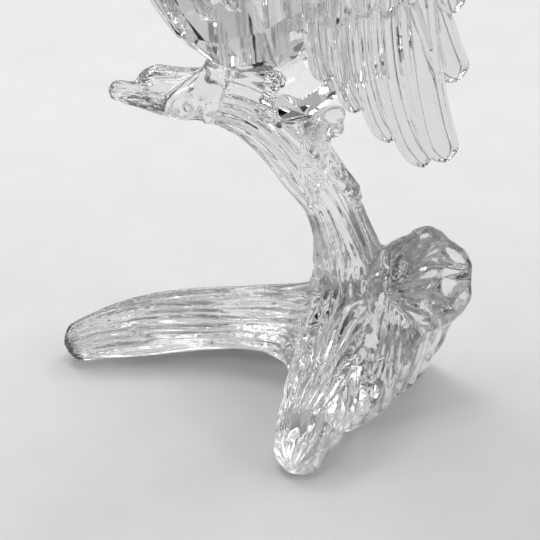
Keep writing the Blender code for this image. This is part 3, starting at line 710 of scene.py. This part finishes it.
def build_wing(name, side):
    """One wing as a solid of layered feathers under a rounded arm; side -1 mirrors it."""
    arm = [wing_point(sweep, height, 0.0) + (r,) for sweep, height, r in WING_ARM]
    wing = round_tube(name, resample(arm, LINE_STEP))
    for verts, faces in wing_blades(PANELS[name]):
        mesh = bpy.data.meshes.new("feather")
        mesh.from_pydata([tuple(float(c) * MM for c in v) for v in verts], [], faces)
        feather = tidy_mesh(link("feather", mesh), 2 * WELD)
        boolean(wing, feather, "UNION")
        tidy_mesh(wing, WELD)
    if side < 0:
        wing.data.transform(Matrix.Scale(-1, 4, (0, 1, 0)))
        wing.data.flip_normals()
    wing.data.transform(Matrix.Translation((Vector(BODY_CENTRE) + Vector(SHIFT)) * MM)
                        @ Matrix.Rotation(math.radians(BIRD_TURN), 4, "Z"))
    boolean(wing, grown_body(), "DIFFERENCE")
    tidy_mesh(wing, WELD)
    wing.data.shade_smooth()
    wing.data.set_sharp_from_angle(angle=math.radians(SMOOTH_ANGLE))
    return wing


# ---- materials --------------------------------------------------------------------
CRYSTALS = {                    # tint, IOR, absorption, roughness, ripple height and size
    "moulded_crystal": ((0.97, 0.975, 0.965), 1.66, 7.0, (0.0, 0.012), 0.004, 1.6),
    "cut_crystal": ((0.98, 0.985, 0.98), 1.46, 1.0, (0.0, 0.008), 0.0015, 3.0),
    # the wings' darker tint is painted shade that greys the clear wing crystal
    "wing_crystal": ((0.84, 0.845, 0.835), 1.54, 10.0, (0.0, 0.01), 0.004, 2.2)}
DEPTH_TINT = (0.50, 0.52, 0.50, 1.0)    # what a long way through the crystal turns to
FOOT_DULLED = (13.0, 20.0, 0.06)    # from and to, toward the front; roughness added
WALL_DULLED = (-1.6, -0.6, 0.20)    # from and to, out from the sheared side's plane


def crystal(name):
    """Clear lead crystal: see-through, a little darker the longer the way through it,
    with a faintly uneven polish."""
    tint, ior, density, polish, ripple, ripple_size = CRYSTALS[name]
    mat = bpy.data.materials.new(name)
    mat.use_nodes = True
    tree = mat.node_tree
    shader = tree.nodes["Principled BSDF"]
    shader.inputs["Base Color"].default_value = tint + (1.0,)
    shader.inputs["Transmission Weight"].default_value = 1.0
    shader.inputs["IOR"].default_value = ior
    shader.inputs["Specular IOR Level"].default_value = 0.5
    coords = tree.nodes.new("ShaderNodeTexCoord")
    flow = tree.nodes.new("ShaderNodeTexNoise")
    flow.inputs["Scale"].default_value = 1.0 / (ripple_size * MM)
    flow.inputs["Detail"].default_value = 2.0
    tree.links.new(coords.outputs["Object"], flow.inputs["Vector"])
    gloss = tree.nodes.new("ShaderNodeMapRange")
    gloss.inputs["To Min"].default_value = polish[0]
    gloss.inputs["To Max"].default_value = polish[1]
    tree.links.new(flow.outputs["Fac"], gloss.inputs["Value"])
    tree.links.new(gloss.outputs["Result"], shader.inputs["Roughness"])
    depths = tree.nodes.new("ShaderNodeVolumeAbsorption")
    depths.inputs["Color"].default_value = DEPTH_TINT
    depths.inputs["Density"].default_value = density
    output = tree.nodes["Material Output"]
    tree.links.new(depths.outputs["Volume"], output.inputs["Volume"])
    bump = tree.nodes.new("ShaderNodeBump")
    bump.inputs["Strength"].default_value = 1.0
    bump.inputs["Distance"].default_value = ripple * MM
    tree.links.new(flow.outputs["Fac"], bump.inputs["Height"])
    tree.links.new(bump.outputs["Normal"], shader.inputs["Normal"])
    return mat


def plane_reach(tree, coords, normal, low, high):
    """0 to 1 as a point's reach along the given direction goes from low to high."""
    dot = tree.nodes.new("ShaderNodeVectorMath")
    dot.operation = "DOT_PRODUCT"
    dot.inputs[1].default_value = tuple(normal)
    tree.links.new(coords, dot.inputs[0])
    ramp = tree.nodes.new("ShaderNodeMapRange")
    ramp.interpolation_type = "SMOOTHSTEP"
    ramp.inputs["From Min"].default_value = low * MM
    ramp.inputs["From Max"].default_value = high * MM
    tree.links.new(dot.outputs["Value"], ramp.inputs["Value"])
    return ramp.outputs["Result"]


def frost(mat):
    """The foot of the front root and the sheared side are a little dulled."""
    tree = mat.node_tree
    shader = tree.nodes["Principled BSDF"]
    place = next(n for n in tree.nodes if n.type == "TEX_COORD").outputs["Object"]
    wall = unit(WALL_FACING)
    plane = float((WALL_FOOT + SHIFT) @ wall)
    wall_low, wall_high, wall_dulling = WALL_DULLED
    total = shader.inputs["Roughness"].links[0].from_socket
    for normal, low, high, dulling in (((0, -1, 0), *FOOT_DULLED),
                                       (wall, plane + wall_low, plane + wall_high,
                                        wall_dulling)):
        mask = plane_reach(tree, place, normal, low, high)
        add = tree.nodes.new("ShaderNodeMath")
        add.operation = "MULTIPLY_ADD"
        add.inputs[1].default_value = dulling
        tree.links.new(mask, add.inputs[0])
        tree.links.new(total, add.inputs[2])
        total = add.outputs["Value"]
    tree.links.new(total, shader.inputs["Roughness"])


def dress(obj, mat):
    obj.data.materials.clear()
    obj.data.materials.append(mat)


# ---- stage ------------------------------------------------------------------------
TARGET = Vector((1.37, -3.31, 28.4)) * MM    # what the camera looks at
DISTANCE = 0.400
RISE = math.radians(30.0)
SENSOR, LENS = 36.0, 440.0 / 3.0


def make_camera():
    data = bpy.data.cameras.new("camera")
    data.sensor_width = SENSOR
    data.lens = LENS
    data.clip_start = 0.01
    camera = link("camera", data)
    camera.location = TARGET - DISTANCE * Vector((0, math.cos(RISE), -math.sin(RISE)))
    camera.rotation_euler = (math.pi / 2 - RISE, 0, 0)
    bpy.context.scene.camera = camera


TABLE_HALF = 3.0
TABLE_TONES = (0.66, 0.66, 0.65, 1), (0.74, 0.74, 0.73, 1)
TABLE_MOTTLE = 60.0
TABLE_PAINTED_SHADE = (-0.08, 0.12, 0.86)    # painted shade: from and to, front to back; tone at the front


def table_mottle_and_painted_shade():
    """Pale matt board, faintly mottled, with painted shade making it a little darker
    towards the front.
    """
    mat = bpy.data.materials.new("pale_table")
    mat.use_nodes = True
    tree = mat.node_tree
    shader = tree.nodes["Principled BSDF"]
    shader.inputs["Roughness"].default_value = 0.6
    shader.inputs["Specular IOR Level"].default_value = 0.3
    coords = tree.nodes.new("ShaderNodeTexCoord")
    mottle = tree.nodes.new("ShaderNodeTexNoise")
    mottle.inputs["Scale"].default_value = TABLE_MOTTLE
    mottle.inputs["Detail"].default_value = 5.0
    tree.links.new(coords.outputs["Object"], mottle.inputs["Vector"])
    ramp = tree.nodes.new("ShaderNodeValToRGB")
    for element, tone in zip(ramp.color_ramp.elements, TABLE_TONES):
        element.color = tone
    tree.links.new(mottle.outputs["Fac"], ramp.inputs["Fac"])
    split = tree.nodes.new("ShaderNodeSeparateXYZ")
    tree.links.new(coords.outputs["Object"], split.inputs["Vector"])
    # painted shade: the board's colour is scaled down towards the front, where less light
    # falls
    painted_shade = tree.nodes.new("ShaderNodeMapRange")
    painted_shade.inputs["From Min"].default_value = TABLE_PAINTED_SHADE[0]
    painted_shade.inputs["From Max"].default_value = TABLE_PAINTED_SHADE[1]
    painted_shade.inputs["To Min"].default_value = TABLE_PAINTED_SHADE[2]
    tree.links.new(split.outputs["Y"], painted_shade.inputs["Value"])
    tone = tree.nodes.new("ShaderNodeVectorMath")
    tone.operation = "SCALE"
    tree.links.new(ramp.outputs["Color"], tone.inputs[0])
    tree.links.new(painted_shade.outputs["Result"], tone.inputs["Scale"])
    tree.links.new(tone.outputs["Vector"], shader.inputs["Base Color"])
    return mat


def make_floor():
    bm = bmesh.new()
    bmesh.ops.create_grid(bm, x_segments=1, y_segments=1, size=TABLE_HALF)
    mesh = bpy.data.meshes.new("table")
    bm.to_mesh(mesh)
    bm.free()
    floor = link("table", mesh)
    floor.location.z = -0.02 * MM    # just clear of the underside
    dress(floor, table_mottle_and_painted_shade())


SKY = [(0.0, 0.55), (0.30, 0.62), (0.58, 0.80), (1.0, 0.83)]    # by height
ROOM = [(0.0, 0.15), (0.25, 0.38), (0.50, 0.95), (1.0, 1.0)]    # front to back
LAMPS = [                       # name, place, width, power
    ("back_left_box", (-0.32, 0.34, 0.66), 0.30, 1.5),
    ("back_right_box", (0.34, 0.42, 0.60), 0.26, 0.85),
    ("top_box", (0.02, 0.04, 0.85), 0.36, 1.2),
    ("left_box", (-0.58, -0.10, 0.52), 0.20, 0.4),
    ("right_box", (0.62, -0.06, 0.50), 0.18, 0.3),
    ("left_spark", (-0.38, -0.30, 0.48), 0.12, 0.35),
    ("right_spark", (0.52, -0.30, 0.34), 0.10, 0.35)]
LAMP_AIM = Vector((0, 0, 0.05))


def level_ramp(tree, stops):
    """Grey ramp through (position, level) stops."""
    ramp = tree.nodes.new("ShaderNodeValToRGB")
    elements = ramp.color_ramp.elements
    while len(elements) < len(stops):
        elements.new(0.5)
    for element, (position, level) in zip(elements, stops):
        element.position = position
        element.color = (level, level, level, 1)
    return ramp


def make_world():
    """Pale sky, brightest overhead and behind the object."""
    world = bpy.data.worlds.new("studio")
    bpy.context.scene.world = world
    world.use_nodes = True
    tree = world.node_tree
    coords = tree.nodes.new("ShaderNodeTexCoord")
    split = tree.nodes.new("ShaderNodeSeparateXYZ")
    tree.links.new(coords.outputs["Generated"], split.inputs["Vector"])
    sky = level_ramp(tree, SKY)
    tree.links.new(split.outputs["Z"], sky.inputs["Fac"])
    front = tree.nodes.new("ShaderNodeMapRange")
    front.inputs["From Min"].default_value = -1.0
    front.inputs["From Max"].default_value = 1.0
    tree.links.new(split.outputs["Y"], front.inputs["Value"])
    room = level_ramp(tree, ROOM)
    tree.links.new(front.outputs["Result"], room.inputs["Fac"])
    both = tree.nodes.new("ShaderNodeMix")
    both.data_type = "RGBA"
    both.blend_type = "MULTIPLY"
    both.inputs["Factor"].default_value = 1.0
    tree.links.new(sky.outputs["Color"], both.inputs[6])
    tree.links.new(room.outputs["Color"], both.inputs[7])
    tree.links.new(both.outputs[2], tree.nodes["Background"].inputs["Color"])
    tree.nodes["Background"].inputs["Strength"].default_value = 1.0


def make_lamps():
    """Broad soft lights, the strongest from behind the left."""
    for name, place, size, energy in LAMPS:
        light = bpy.data.lights.new(name, "AREA")
        light.shape = "DISK"
        light.size = size
        light.energy = energy
        lamp = link(name, light)
        lamp.location = place
        aim = LAMP_AIM - lamp.location
        lamp.rotation_euler = aim.to_track_quat("-Z", "Y").to_euler()


make_camera()
make_floor()
make_world()
make_lamps()
moulded = crystal("moulded_crystal")
cut = crystal("cut_crystal")
frost(moulded)
# the wings' crystal, its tint darkened as painted shade
wing_painted_shade = crystal("wing_crystal")

base = carve_base()
dress(base, moulded)
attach(base, "root")
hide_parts("branch_base")
for name, side, node in (("near_wing", 1, "left_wing"), ("far_wing", -1, "right_wing")):
    obj = build_wing(name, side)
    dress(obj, wing_painted_shade)
    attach(obj, "root")
    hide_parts(node)
for node in BIRD:
    dress(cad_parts[node], cut)

scene = bpy.context.scene
scene.view_settings.view_transform = "Standard"
scene.cycles.max_bounces = 32
scene.cycles.transmission_bounces = 32
